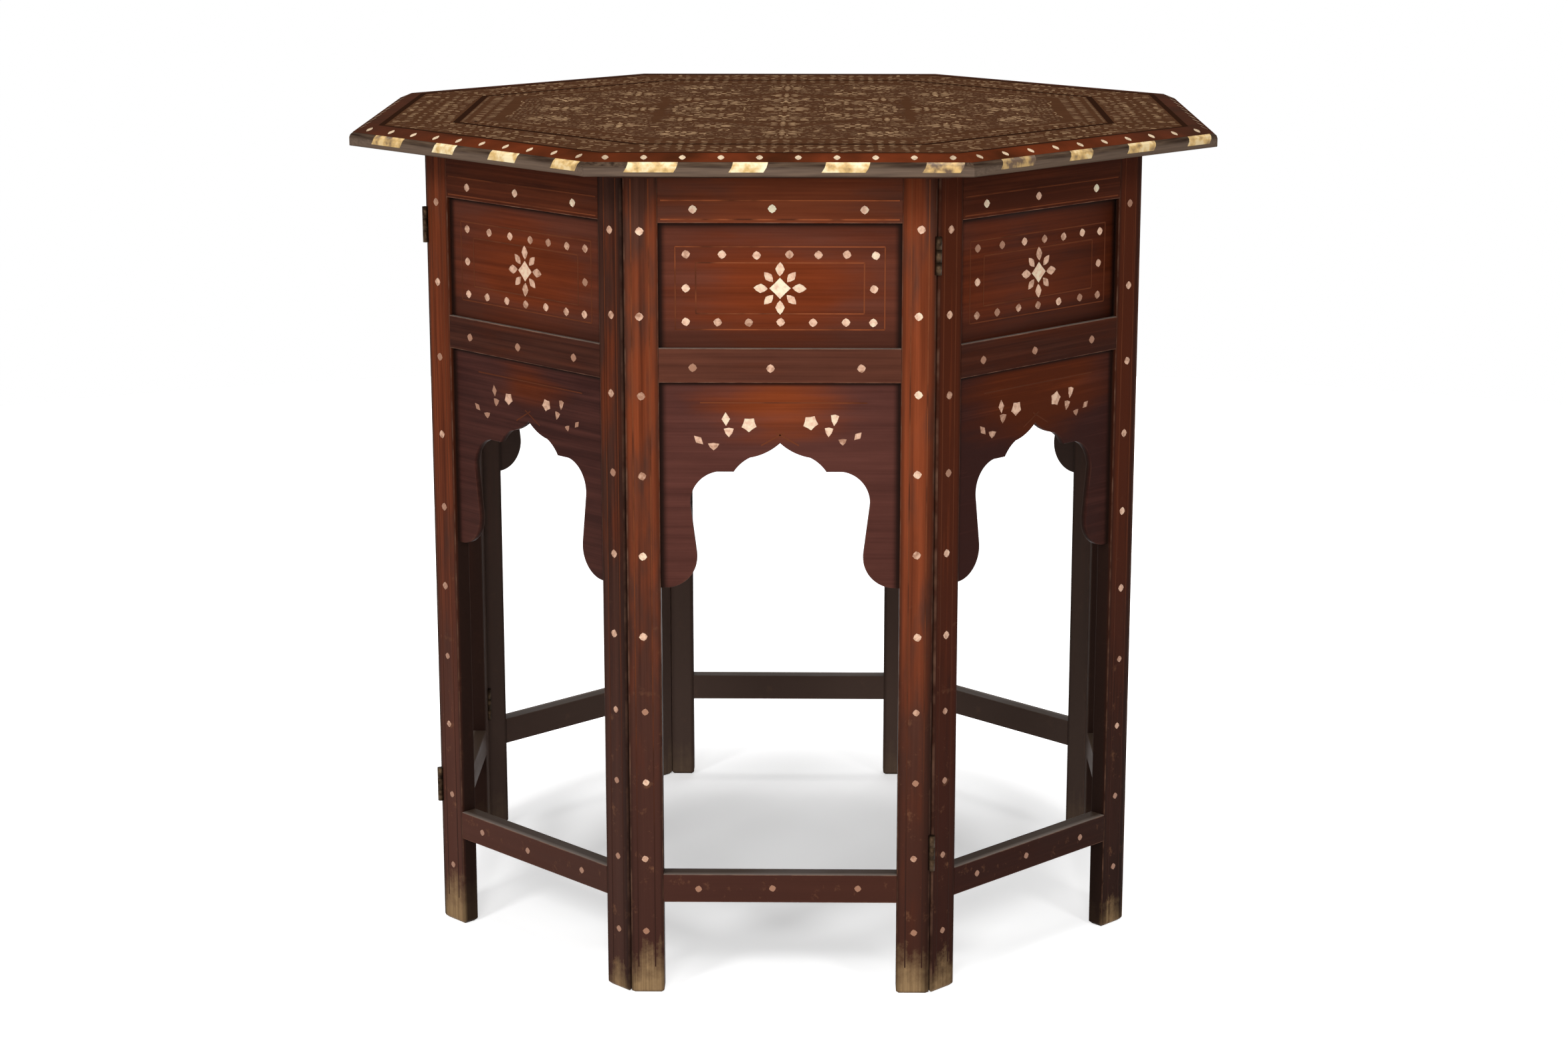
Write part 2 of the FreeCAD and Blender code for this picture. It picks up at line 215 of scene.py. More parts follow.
def wear_shade_and_highlights(tree, kept):
    """What use has done to the polish, with painted light in it: dark and scuffed low down, darker still on
    the table's right as painted shade, pale on the arrises, partly as a painted highlight, and gone at the
    feet. Each is a coat, given by how much it covers and its colour."""
    # Low down, where feet and brooms reach, it is dark: nearly black on the table's right and greyer on its
    # left, which is painted shade and light, the right being turned from the lamps.
    spot = add_node(tree, "ShaderNodeTexCoord", {}, {}, "Object")
    sideways = add_node(tree, "ShaderNodeSeparateXYZ", {}, {"Vector": spot}, "X")
    sideways = add_node(tree, "ShaderNodeMapRange", {}, {
        "Value": sideways, "From Min": -base_half, "From Max": base_half})
    low_soot_and_shade = add_node(tree, "ShaderNodeValToRGB", {}, {"Fac": sideways}, stops=[
        (0.0, linear("#503027")), (0.285, linear("#452d26")), (0.3, linear("#412822")),
        (0.7, linear("#40251d")), (0.715, linear("#341b15")), (1.0, linear("#2a1812"))])
    low = add_node(tree, "ShaderNodeMapRange", eased, {
        "Value": kept["height"], "From Min": kicked_foot, "From Max": kicked_head,
        "To Min": 0.85, "To Max": 0.0})

    # There too it is scuffed through in specks of 2 to 8 mm.
    specks = add_node(tree, "ShaderNodeTexNoise", {}, {
        "Vector": kept["place"], "Scale": 1 / 0.011, "Detail": 5.0, "Roughness": 0.7})
    scuff = add_node(tree, "ShaderNodeMapRange", {}, {
        "Value": specks, "From Min": 0.58, "From Max": 0.74, "To Max": 0.7})
    scuff = add_node(tree, "ShaderNodeMath", {"operation": "MULTIPLY"}, {0: scuff, 1: low})

    # Arrises are paler in patches about 14 mm long: rubbed, and painted highlight where they catch the light.
    patch = add_node(tree, "ShaderNodeTexNoise", {}, {
        "Vector": kept["place"], "Scale": 1 / 0.014, "Detail": 3.0})
    patch = add_node(tree, "ShaderNodeMapRange", {}, {
        "Value": patch, "From Min": 0.4, "From Max": 0.7, "To Min": 0.05, "To Max": 0.75})
    patch = add_node(tree, "ShaderNodeMath", {"operation": "MULTIPLY"}, {0: kept["rubbed_and_lit"], 1: patch})

    # The stain is gone from the lowest 10 to 35 mm of the feet, in upright streaks and specks.
    bare = kept["bare"]
    for pattern, share in ((kept["streak"], 0.045), (specks, 0.05), (kept["height"], -1.0)):
        bare = add_node(tree, "ShaderNodeMath", {"operation": "MULTIPLY_ADD"}, {
            0: pattern, 1: share, 2: bare})
    foot = add_node(tree, "ShaderNodeMapRange", {}, {
        "Value": bare, "From Min": 0.010, "From Max": 0.042, "To Max": 0.85})
    pale = add_node(tree, "ShaderNodeMix", in_colour, {
        "Factor": kept["pores"], 6: linear("#5d432c"), 7: linear("#bc9d72")}, 2)
    return [(low, low_soot_and_shade), (scuff, linear("#80573d")), (patch, linear("#8a6450")), (foot, pale)]


def raw_dusty_shade_and_highlight(tree, kept, show_depth, back_depth):
    """Two more coats: behind the show face the wood has no polish and is darkened as painted shade, and its
    ledges hold dust, palest at the front arris, where it is partly a painted highlight.
    """
    behind = add_node(tree, "ShaderNodeMapRange", {}, {
        "Value": kept["depth"], "From Min": show_depth + 0.001, "From Max": show_depth + 0.003,
        "To Max": 0.85})
    inside = add_node(tree, "ShaderNodeMapRange", {}, {
        "Value": kept["depth"], "From Min": back_depth - 0.0008, "From Max": back_depth - 0.0003})
    raw_and_shaded = add_node(tree, "ShaderNodeMix", in_colour, {
        "Factor": inside, 6: linear("#271a15"), 7: linear("#4b3d36")}, 2)
    facing = add_node(tree, "ShaderNodeNewGeometry", {}, {}, "True Normal")
    upward = add_node(tree, "ShaderNodeSeparateXYZ", {}, {"Vector": facing}, "Z")
    # Upward faces get dust; its pale line at the front arris is partly a painted highlight.
    ledge = add_node(tree, "ShaderNodeMapRange", {}, {
        "Value": upward, "From Min": 0.3, "From Max": 0.8, "To Max": 0.85})
    back_from_lit_arris = add_node(tree, "ShaderNodeMapRange", {}, {"Value": kept["depth"], "From Max": 0.005})
    dust = add_node(tree, "ShaderNodeMix", in_colour, {
        "Factor": back_from_lit_arris, 6: linear("#8a7d73"), 7: linear("#483a30")}, 2)
    return [(behind, raw_and_shaded), (ledge, dust)]


def stained_wood(name, show_depth, back_depth, middle_colour, rim_colour, glow_middle, glow_size, mottle,
                 shade_and_dirt_lines=(), figure=1.0):
    """Sheesham, planed, stained dark and polished, then worn: a low gloss over long soft streaks. Lengths are
    in metres. Painted shade, with some dirt, lies along lines given by their axis, the distances where it
    starts and is thickest, and how thick it is. Figure is how strongly the streaks show."""
    material, shader = new_material(name, 0.5, 0.02)
    tree = material.node_tree
    kept = {}
    for layer, output in (("grain", "Vector"), ("place", "Vector"), ("tone", "Fac"), ("soil", "Fac"),
                          ("rubbed_and_lit", "Fac"), ("bare", "Fac")):
        kept[layer] = add_node(tree, "ShaderNodeAttribute", {"attribute_name": layer}, {}, output)
    axes = add_node(tree, "ShaderNodeSeparateXYZ", {}, {"Vector": kept["place"]}).node.outputs
    kept.update(depth=axes["Y"], height=axes["Z"])
    surface = polish_and_grain(tree, kept, middle_colour, rim_colour, glow_middle, glow_size, mottle, figure)
    coats = wear_shade_and_highlights(tree, kept) + raw_dusty_shade_and_highlight(tree, kept, show_depth, back_depth)
    aside = add_node(tree, "ShaderNodeMath", {"operation": "ABSOLUTE"}, {0: axes["X"]})
    lies = {"aside": aside, "right": axes["X"], "up": axes["Z"]}
    # Each dark line is painted shade, with some dirt, darkest where it is thickest.
    for axis, start, thickest, amount in shade_and_dirt_lines:
        shade_and_dirt = add_node(tree, "ShaderNodeMapRange", eased, {
            "Value": lies[axis], "From Min": start, "From Max": thickest, "To Max": amount})
        coats.append((shade_and_dirt, linear("#1d120e")))
    for share, colour in coats:
        surface = add_node(tree, "ShaderNodeMix", in_colour, {"Factor": share, 6: surface, 7: colour}, 2)
    rough = add_node(tree, "ShaderNodeMapRange", {}, {
        "Value": kept["clouds"], "From Min": 0.3, "From Max": 0.7, "To Min": 0.38, "To Max": 0.55})
    relief = add_node(tree, "ShaderNodeBump", {}, {
        "Strength": 0.2, "Distance": 0.0002, "Height": kept["pores"]})
    tree.links.new(surface, shader["Base Color"])
    tree.links.new(rough, shader["Roughness"])
    tree.links.new(relief, shader["Normal"])
    return material


def long_show_edge(a, b, edge):
    on_faces = all(v.y < mitre_reach or v.y > frame_thickness - face_slack for v in (a, b))
    return on_faces and edge.calc_length() > shortest_arris


# Shade and wear are given where they differ from stile to stile: the tone, darkened as painted shade most on
# the front right panel, the reach of the darker rim, and how much higher the foot is bare.
# The dark lines along the stiles are painted shade with some dirt: by the mitred corner, beside the sunk
# panels and down the outer edge of the right-hand stile.
stile_wood = stained_wood("stained_sheesham_stile", 0.0, frame_thickness, "#783b22", "#4e3026",
                          glow_middle=(0, 0, 0.42), glow_size=(0, 0, 0.34), mottle=3.0,
                          shade_and_dirt_lines=[("aside", 0.1025, 0.1070, 0.6), ("aside", 0.0865, 0.0835, 0.5),
                                      ("right", 0.0975, 0.1045, 0.5)])
# Per panel tone: the front panel is kept as it is and the others are darkened, as painted shade where they
# turn from the lamps, most on the front right.
panel_shade_tones = {"front": 0.0, "front_right": -0.15, "front_left": -0.1, "right": -0.1, "left": -0.06,
               "back_right": -0.04, "back_left": -0.08, "back": -0.05}
stile_shade_and_wear = {"front_panel_right_stile": (0.0, 0.0, 0.0), "front_panel_left_stile": (-0.05, 0.4, 0.0),
              "front_right_panel_left_stile": (-0.22, -0.5, -0.008),
              "front_right_panel_right_stile": (-0.2, -0.3, -0.014),
              "front_left_panel_right_stile": (-0.12, 0.6, -0.018),
              "front_left_panel_left_stile": (-0.05, 0.0, 0.004)}
for step, panel in enumerate(panel_names):
    to_panel = panel_place(step).inverted()
    for side in ("left", "right"):
        node = panel + "_panel_" + side + "_stile"
        usual_wear = (chance.uniform(-0.08, 0.0), chance.uniform(0.0, 0.4), -0.006)
        tone, soil, bare = stile_shade_and_wear.get(node, usual_wear)
        stile = wooden_piece(node, lambda co: to_panel @ co, "up", stile_wood, stile_arris, long_show_edge,
                             panel_shade_tones[panel] + tone, soil, bare=bare)
        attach(stile, panel + "_panel")

# Rails: three cross pieces to each panel, of the same stained sheesham with the grain running across. Their
# tenons go into the stiles, and the upper and middle ones are grooved for the sunk panels.
rail_arris = 0.0006
shortest_rail = 0.05
# Rail tones: the front rails are lightened and the front left and front right ones darkened, as painted light
# and shade.
rail_shade_and_wear = {"front": (0.07, 0.0), "front_left": (-0.11, -0.4), "front_right": (-0.08, -0.6)}
rail_wood = stained_wood("stained_sheesham_rail", 0.0, frame_thickness, "#6b3621", "#533025",
                         glow_middle=(0, 0, 0.572), glow_size=(0.09, 0, 0.09), mottle=2.0, figure=0.75)


def rail_edge(a, b, edge):
    on_faces = all(v.y < face_slack or v.y > frame_thickness - face_slack for v in (a, b))
    return on_faces and edge.calc_length() > shortest_rail


for step, panel in enumerate(panel_names):
    to_panel = panel_place(step).inverted()
    tone, soil = rail_shade_and_wear.get(panel, (0.0, 0.0))
    tone += panel_shade_tones[panel] + chance.uniform(-0.04, 0.0)
    rails = wooden_piece(panel + "_panel_rails", lambda co: to_panel @ co, "across", rail_wood, rail_arris,
                         rail_edge, tone, soil)
    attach(rails, panel + "_panel")

# Frieze panels: thin boards of the same wood sunk in the grooves of the upper opening, with the grain running
# across, redder in the middle and dark along the frame, as painted shade of the recess with some dirt.
panel_face = 0.0035
panel_back = 0.0085
opening_half = 0.083
frieze_head = 0.556
frieze_foot = 0.470
frieze_soil = {"front_right": -0.5, "front_left": -0.1}
beside_stile = ("aside", opening_half - 0.006, opening_half - 0.001, 0.9)
frieze_wood = stained_wood("stained_sheesham_frieze", panel_face, panel_back, "#6f3219", "#5a3125",
                           glow_middle=(0, 0, 0.510), glow_size=(0.085, 0, 0.05), mottle=1.4,
                           shade_and_dirt_lines=[beside_stile, ("up", frieze_head - 0.005, frieze_head - 0.001, 0.85),
                                       ("up", frieze_foot + 0.020, frieze_foot + 0.008, 0.42)], figure=0.6)
for step, panel in enumerate(panel_names):
    to_panel = panel_place(step).inverted()
    tone = panel_shade_tones[panel] + chance.uniform(-0.03, 0.01)
    board = wooden_piece(panel + "_panel_frieze_panel", lambda co: to_panel @ co, "across", frieze_wood,
                         tone=tone, soil=frieze_soil.get(panel, 0.0))
    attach(board, panel + "_panel")

# Arch panels: thin boards sunk in the lower opening, fretted to a cusped arch with an ogee point, with the
# sawn edge eased. The wood is dark along the fretted edge and redder above the point.
arch_arris = 0.0005
arch_head = 0.446
arch_point = 0.42
groove_slack = 0.0008
# The front right and front left arches are darkened as painted shade.
arch_shade_tones = {"front_right": -0.28, "front_left": -0.2}
arch_soil = {"front_right": -0.5, "front_left": 0.3}
# The dark lines beside the stiles and under the head of the opening are painted shade of the recess, with
# some dirt.
arch_wood = stained_wood("stained_sheesham_arch", panel_face, panel_back, "#7c3b1e", "#55322c",
                         glow_middle=(0, 0, 0.432), glow_size=(0.062, 0, 0.032), mottle=1.2,
                         shade_and_dirt_lines=[beside_stile, ("up", arch_head - 0.004, arch_head - 0.001, 0.8)],
                         figure=0.6)


def fretted_edge(a, b, edge):
    inner = all(abs(v.x) < opening_half + groove_slack and v.z < arch_point for v in (a, b))
    return inner and abs(a.y - b.y) < 1e-5


for step, panel in enumerate(panel_names):
    to_panel = panel_place(step).inverted()
    tone = arch_shade_tones.get(panel, panel_shade_tones[panel]) + chance.uniform(-0.07, -0.03)
    board = wooden_piece(panel + "_panel_arch_panel", lambda co: to_panel @ co, "across", arch_wood,
                         arch_arris, fretted_edge, tone, arch_soil.get(panel, 0.0), arris_paleness=0.1)
    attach(board, panel + "_panel")

# Bone inlay of the panels: small chips of bone sawn to lozenges, stars and leaves and let into the wood, on
# the stiles and rails, as a dotted frame and a star flower on the frieze, and as sprays over the arch.
chip_stand = 0.0002
chip_bury = 0.0008
slip = 0.0005
dot_size = 0.0060
kicked_dot_share = 0.84
kicked_level = 0.25
stile_dots = [0.551, 0.492, 0.437, 0.381, 0.324, 0.2645, 0.210, 0.158, 0.102, 0.046]
rail_dots = [(x, 0, 0.5654, -0.5) for x in (-0.059, -0.0056, 0.057)]
rail_dots += [(x, 0, 0.4565, 0.35) for x in (-0.060, -0.006, 0.0555)]
rail_dots += [(x, 0, 0.0795, 0.3) for x in (-0.0586, -0.0056, 0.0556)]
frieze_dots = [(x, 0.534) for x in (-0.064, -0.039, -0.016, 0.006, 0.026, 0.046, 0.0656)]
frieze_dots += [(x, 0.4877) for x in (-0.0644, -0.043, -0.021, 0.0, 0.0224, 0.0447, 0.064)]
frieze_dots += [(-0.0645, 0.5105), (0.0645, 0.5105)]
flower_level = 0.511
flower_eye = 0.0146
long_petal = (0.0132, 0.0098, 0.0064)
short_petal = (0.0110, 0.0090, 0.0054)
leaves = [(-0.0374, 0.4196, 2, 8, 0.0058, 0.0096, 0.0), (-0.0355, 0.4118, 3, 180, 0.0080, 0.0080, 0.0),
          (-0.0566, 0.4050, 2, 48, 0.0050, 0.0088, 0.3), (-0.0458, 0.4016, 3, 180, 0.0090, 0.0062, 0.2),
          (0.0376, 0.4206, 3, 176, 0.0066, 0.0098, 0.0), (0.0332, 0.4120, 3, 172, 0.0068, 0.0082, 0.1),
          (0.0436, 0.4048, 3, 190, 0.0066, 0.0056, 0.4), (0.0538, 0.4084, 2, -45, 0.0046, 0.0074, 0.3)]
spray_flowers = [(-0.0213, 0.4162), (0.0210, 0.4176)]
spray_flower_length = 0.0110
spray_flower_width = 0.0104
bone_grime = {"front": 0.15, "front_left": 0.3, "front_right": 0.14}
spray_grime = {"front_left": 0.25, "front_right": 0.1}
spray_size = {"front_left": 0.86}


def bone_chip(shape, place, turn, length, width, points, waist, tone):
    """One flat chip with this many points, drawn about its middle and set into the face at place."""
    drawn = bmesh.ops.create_circle(shape, cap_ends=True, segments=2 * points, radius=1.0)
    for index, corner in enumerate(drawn["verts"]):
        share = 0.5 if index % 2 == 0 else 0.5 * waist
        corner.co = Vector((corner.co.x * length * share, corner.co.y * width * share, 0))
    spun = place @ Matrix.Rotation(math.radians(turn), 4, "Z")
    bmesh.ops.transform(shape, matrix=spun, verts=drawn["verts"])
    chip_tone = shape.faces.layers.float.get("tone") or shape.faces.layers.float.new("tone")
    drawn["verts"][0].link_faces[0][chip_tone] = tone


def chip_seat(x, depth, z):
    """Middle of a chip on an upright face that looks to -Y."""
    return Matrix.Translation((x, depth - chip_stand, z)) @ Matrix.Rotation(math.radians(90), 4, "X")


def let_in(shape, inward):
    """Gives all the flat chips their thickness, down into the wood."""
    grown = bmesh.ops.extrude_face_region(shape, geom=list(shape.faces))
    sunk = [part for part in grown["geom"] if isinstance(part, bmesh.types.BMVert)]
    bmesh.ops.translate(shape, verts=sunk, vec=inward)
    bmesh.ops.recalc_face_normals(shape, faces=list(shape.faces))


def polished_bone(name, tints, mottle, marks, roughness=0.42, gloss=0.4):
    """Bleached bone, scraped flush and polished: pale, softly glossy chips. The tints go from the palest chip
    to the dullest, and each is mottled in spots of the given size."""
    material, shader = new_material(name, roughness, gloss)
    tree = material.node_tree
    place = add_node(tree, "ShaderNodeTexCoord", {}, {}, "Object")
    tone = add_node(tree, "ShaderNodeAttribute", {"attribute_name": "tone"}, {}, "Fac")
    spots = add_node(tree, "ShaderNodeTexNoise", {}, {"Vector": place, "Scale": 1 / mottle, "Detail": 3.0})
    spot = add_node(tree, "ShaderNodeMapRange", {}, {
        "Value": spots, "From Min": 0.4, "From Max": 0.75, "To Max": marks})
    dulled = add_node(tree, "ShaderNodeMath", {"operation": "ADD", "use_clamp": True}, {0: spot, 1: tone})
    steps = len(tints) - 1
    colour = add_node(tree, "ShaderNodeValToRGB", {}, {"Fac": dulled}, stops=[
        (index / steps, linear(tint)) for index, tint in enumerate(tints)])
    tree.links.new(colour, shader["Base Color"])
    return material


def jog(size):
    return chance.uniform(-size, size)


def dulling():
    return chance.choice([0.05, 0.15, 0.2, 0.3, 0.45, 0.6])


def lay_star_flower(shape, faded):
    """The flower in the middle of a frieze: a lozenge eye with eight petals, long and short by turns."""
    bone_chip(shape, chip_seat(0, panel_face, flower_level), 0, flower_eye, flower_eye, 4, 0.68, faded - 0.2)
    for petal in range(8):
        angle = math.radians(45 * petal)
        reach, length, width = long_petal if petal % 2 == 0 else short_petal
        seat = chip_seat(reach * math.cos(angle), panel_face, flower_level + reach * math.sin(angle))
        turn = 45 * petal + chance.uniform(-6, 6)
        bone_chip(shape, seat, turn, length, width, 4, 0.82, dulling() * 0.4 + faded)


def lay_sprays(shape, faded, browned, size):
    """The two sprays over an arch: leaves of two or three points, and a flower of five."""
    for x, z, points, turn, length, width, grime in leaves:
        seat = chip_seat(x + jog(slip), panel_face, z + jog(slip))
        waist = 0.66 if points == 3 else 1.0
        bone_chip(shape, seat, turn + chance.uniform(-8, 8), size * length, size * width, points, waist,
                  dulling() * 0.6 + grime + faded + browned)
    for x, z in spray_flowers:
        bone_chip(shape, chip_seat(x, panel_face, z), chance.uniform(0, 72), size * spray_flower_length,
                  size * spray_flower_width, 5, 0.76, faded + 0.5 * browned)


panel_bone = polished_bone("panel_bone", ("#eadfbf", "#dbb094", "#96694f"), 0.003, 0.5)
for step, panel in enumerate(panel_names):
    inlay = bmesh.new()
    # Bone on the panels darkened as painted shade is dulled with them through their tones, and grimed
    # besides.
    faded = -1.5 * panel_shade_tones[panel] + bone_grime.get(panel, 0.0)
    dots = [(x, panel_face, z, 0.0) for x, z in frieze_dots] + rail_dots
    dots += [(side * stile_middle + jog(slip), 0, z + 2 * jog(slip), 0.0)
             for side in (-1, 1) for z in stile_dots]
    for x, depth, z, grime in dots:
        seat = chip_seat(x + jog(slip), depth, z + jog(slip))
        size = dot_size * (kicked_dot_share if z < kicked_level else 1.0)
        kicked = grime + 0.5 * max(0.0, 1 - z / kicked_level)
        bone_chip(inlay, seat, chance.uniform(-14, 14), size, size, 4, 0.88, dulling() + kicked + faded)
    lay_star_flower(inlay, faded)
    lay_sprays(inlay, faded, spray_grime.get(panel, 0.0), spray_size.get(panel, 1.0))
    let_in(inlay, (0, chip_stand + chip_bury, 0))
    bmesh.ops.transform(inlay, matrix=panel_place(step), verts=inlay.verts)
    bone = finished(inlay, panel + "_panel_bone_inlay", panel_bone)
    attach(bone, panel + "_panel")

# Stringing: thin lines of pale fruitwood, let into sawn grooves beside the rows of dots and over the arch.
# They were planed flush with the wood and are now mostly stained over.
string_width = 0.0009
string_stand = 0.00008
string_bury = 0.0006
rail_string_half = 0.081
rail_string_levels = (0.5715, 0.5585)
stile_string_off = 0.006
stile_string_foot = 0.02
stile_string_head = 0.586
frieze_strings = ((0.0715, 0.4825, 0.5395), (0.0575, 0.4935, 0.5285))
arch_string_level = 0.4315
arch_string_ends = (-0.055, 0.06)
point_string = ((-0.003, 0.4105), (0.013, 0.4015))
strings_kept = {"front": 1.0, "front_left": 0.3, "front_right": 0.3}
arch_strings_kept = {"front": 0.5}


def string_line(shape, start, end, depth, fresh):
    """One straight line of stringing on an upright face, from (x, z) to (x, z); fresh is how much shows."""
    run = Vector((end[0] - start[0], 0, end[1] - start[1]))
    middle = Vector((start[0] + end[0], 2 * depth + string_bury - string_stand, start[1] + end[1])) / 2
    turn = Matrix.Rotation(-math.atan2(run.z, run.x), 4, "Y")
    size = Matrix.Diagonal((run.length, string_bury + string_stand, string_width, 1))
    shown = shape.verts.layers.float.get("tone") or shape.verts.layers.float.new("tone")
    bar = bmesh.ops.create_cube(shape, size=1, matrix=Matrix.Translation(middle) @ turn @ size)
    for corner in bar["verts"]:
        corner[shown] = fresh


# Fruitwood, planed flush and stained over: hair lines a little paler than the wood, lost in gaps of 30 mm and
# towards the feet.
stringing, shader = new_material("stained_fruitwood_stringing", 0.5, 0.02)
tree = stringing.node_tree
place = add_node(tree, "ShaderNodeTexCoord", {}, {}, "Object")
gaps = add_node(tree, "ShaderNodeTexNoise", {}, {"Vector": place, "Scale": 1 / 0.03, "Detail": 3.0})
gaps = add_node(tree, "ShaderNodeMapRange", {}, {"Value": gaps, "From Min": 0.34, "From Max": 0.52})
fresh = add_node(tree, "ShaderNodeAttribute", {"attribute_name": "tone"}, {}, "Fac")
shown = add_node(tree, "ShaderNodeMath", {"operation": "MULTIPLY"}, {0: gaps, 1: fresh})
height = add_node(tree, "ShaderNodeSeparateXYZ", {}, {"Vector": place}, "Z")
clean = add_node(tree, "ShaderNodeMapRange", eased, {
    "Value": height, "From Min": kicked_foot, "From Max": kicked_head})
shown = add_node(tree, "ShaderNodeMath", {"operation": "MULTIPLY"}, {0: shown, 1: clean})
ground = add_node(tree, "ShaderNodeMix", in_colour, {
    "Factor": clean, 6: linear("#36211b"), 7: linear("#522a1a")}, 2)
colour = add_node(tree, "ShaderNodeMix", in_colour, {"Factor": shown, 6: ground, 7: linear("#9a5230")}, 2)
tree.links.new(colour, shader["Base Color"])
for step, panel in enumerate(panel_names):
    lines = bmesh.new()
    kept = strings_kept.get(panel, 0.6)
    arch_kept = arch_strings_kept.get(panel, 0.1)
    for z in rail_string_levels:
        string_line(lines, (-rail_string_half, z), (rail_string_half, z), 0, 0.9 * kept)
    for side in (-1, 1):
        for off in (-stile_string_off, stile_string_off):
            x = side * (stile_middle + off)
            string_line(lines, (x, stile_string_foot), (x, stile_string_head), 0, 0.35 * kept)
        head, foot = [(side * x, z) for x, z in point_string]
        string_line(lines, head, foot, panel_face, 0.45 * arch_kept)
    for half, low, high in frieze_strings:
        for z in (low, high):
            string_line(lines, (-half, z), (half, z), panel_face, 0.6 * kept)
        for x in (-half, half):
            string_line(lines, (x, low), (x, high), panel_face, 0.4 * kept)
    start, end = [(x, arch_string_level) for x in arch_string_ends]
    string_line(lines, start, end, panel_face, 0.6 * arch_kept)
    bmesh.ops.transform(lines, matrix=panel_place(step), verts=lines.verts)
    strings = finished(lines, panel + "_panel_stringing", stringing)
    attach(strings, panel + "_panel")

# Hinges: small drawn-brass butts, two to a corner, set flush in the mitres, alternately outside and inside.
# The right-hand leaf of a panel has the outer knuckles and the pin, the left-hand one the middle knuckle.
corner_x = 0.1075
hinge_levels = [0.534, 0.107]
hinge_length = 0.026
knuckle_gap = 0.0002
barrel_radius = 0.0022
barrel_stand = 0.0006
leaf_width = 0.011
leaf_thickness = 0.0012
leaf_gap = 0.0005
mitre_gap = 0.0003
screw_radius = 0.0017
screw_inset = 0.0042
screw_stand = 0.00008
pin_radius = 0.001
pin_stand = 0.0004
half_corner = math.radians(22.5)


def hinge_seat(outside, level):
    """From a hinge drawn about its own pin to the right-hand corner of an upright panel."""
    radial = barrel_stand if outside else -frame_thickness / math.cos(half_corner) - barrel_stand
    turn = half_corner + (math.pi / 2 if outside else -math.pi / 2)
    place = Vector((corner_x + radial * math.sin(half_corner), -radial * math.cos(half_corner), level))
    return Matrix.Translation(place) @ Matrix.Rotation(turn, 4, "Z")


def rod(shape, place, segments, radius, length):
    bmesh.ops.create_cone(shape, cap_ends=True, segments=segments, radius1=radius, radius2=radius,
                          depth=length, matrix=place)


def hinge_half(shape, seat, wood, spans, pin):
    """One leaf with its knuckles; wood is the side of the joint that the leaf is let into."""
    middle = wood * (mitre_gap / 2 + leaf_thickness / 2)
    for low, high in spans:
        lie = seat @ Matrix.Translation((0, 0, (low + high) / 2))
        rod(shape, lie, 20, barrel_radius, high - low)
        size = Matrix.Diagonal((barrel_radius, leaf_thickness, high - low, 1))
        tongue = lie @ Matrix.Translation((barrel_radius * 1.1, middle, 0)) @ size
        bmesh.ops.create_cube(shape, size=1, matrix=tongue)
    flap = leaf_width - barrel_radius - leaf_gap
    size = Matrix.Diagonal((flap, leaf_thickness, hinge_length, 1))
    leaf = seat @ Matrix.Translation((leaf_width - flap / 2, middle, 0)) @ size
    bmesh.ops.create_cube(shape, size=1, matrix=leaf)
    for z in (-0.3 * hinge_length, 0, 0.3 * hinge_length):
        lie = seat @ Matrix.Translation((leaf_width - screw_inset, wood * mitre_gap / 2, z))
        rod(shape, lie @ Matrix.Rotation(math.radians(90), 4, "X"), 12, screw_radius, screw_stand)
    if pin:
        rod(shape, seat, 12, pin_radius, hinge_length + pin_stand)


# Drawn brass under old tarnish: a dark brown metal, blotched every 4 mm, with a dull gleam on the knuckles.
brass, shader = new_material("tarnished_drawn_brass", 0.5, 0.5)
tree = brass.node_tree
place = add_node(tree, "ShaderNodeTexCoord", {}, {}, "Object")
stains = add_node(tree, "ShaderNodeTexNoise", {}, {"Vector": place, "Scale": 1 / 0.004, "Detail": 3.0})
stain = add_node(tree, "ShaderNodeMapRange", {}, {"Value": stains, "From Min": 0.35, "From Max": 0.65})
colour = add_node(tree, "ShaderNodeMix", in_colour, {
    "Factor": stain, 6: linear("#271c14"), 7: linear("#4a3a2b")}, 2)
rough = add_node(tree, "ShaderNodeMapRange", {}, {"Value": stains, "To Min": 0.62, "To Max": 0.4})
tree.links.new(colour, shader["Base Color"])
tree.links.new(rough, shader["Roughness"])
shader["Metallic"].default_value = 1.0
third = hinge_length / 3
middle_span = [(-third / 2, third / 2)]
outer_spans = [(-hinge_length / 2, -third / 2 - knuckle_gap), (third / 2 + knuckle_gap, hinge_length / 2)]
to_left = Matrix.Diagonal((-1, 1, 1, 1))
barrel_facet = 9e-6
for step, panel in enumerate(panel_names):
    outside_right = step % 2 == 0
    metal = bmesh.new()
    for level in hinge_levels:
        wood = 1 if outside_right else -1
        hinge_half(metal, hinge_seat(outside_right, level), wood, outer_spans, True)
        hinge_half(metal, to_left @ hinge_seat(not outside_right, level), -wood, middle_span, False)
    bmesh.ops.transform(metal, matrix=panel_place(step), verts=metal.verts)
    bmesh.ops.recalc_face_normals(metal, faces=list(metal.faces))
    for face in metal.faces:
        face.smooth = len(face.verts) == 4 and face.calc_area() < barrel_facet
    hinge = finished(metal, panel + "_panel_brass_hinges", brass)
    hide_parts(panel + "_panel_hinges")
    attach(hinge, panel + "_panel")

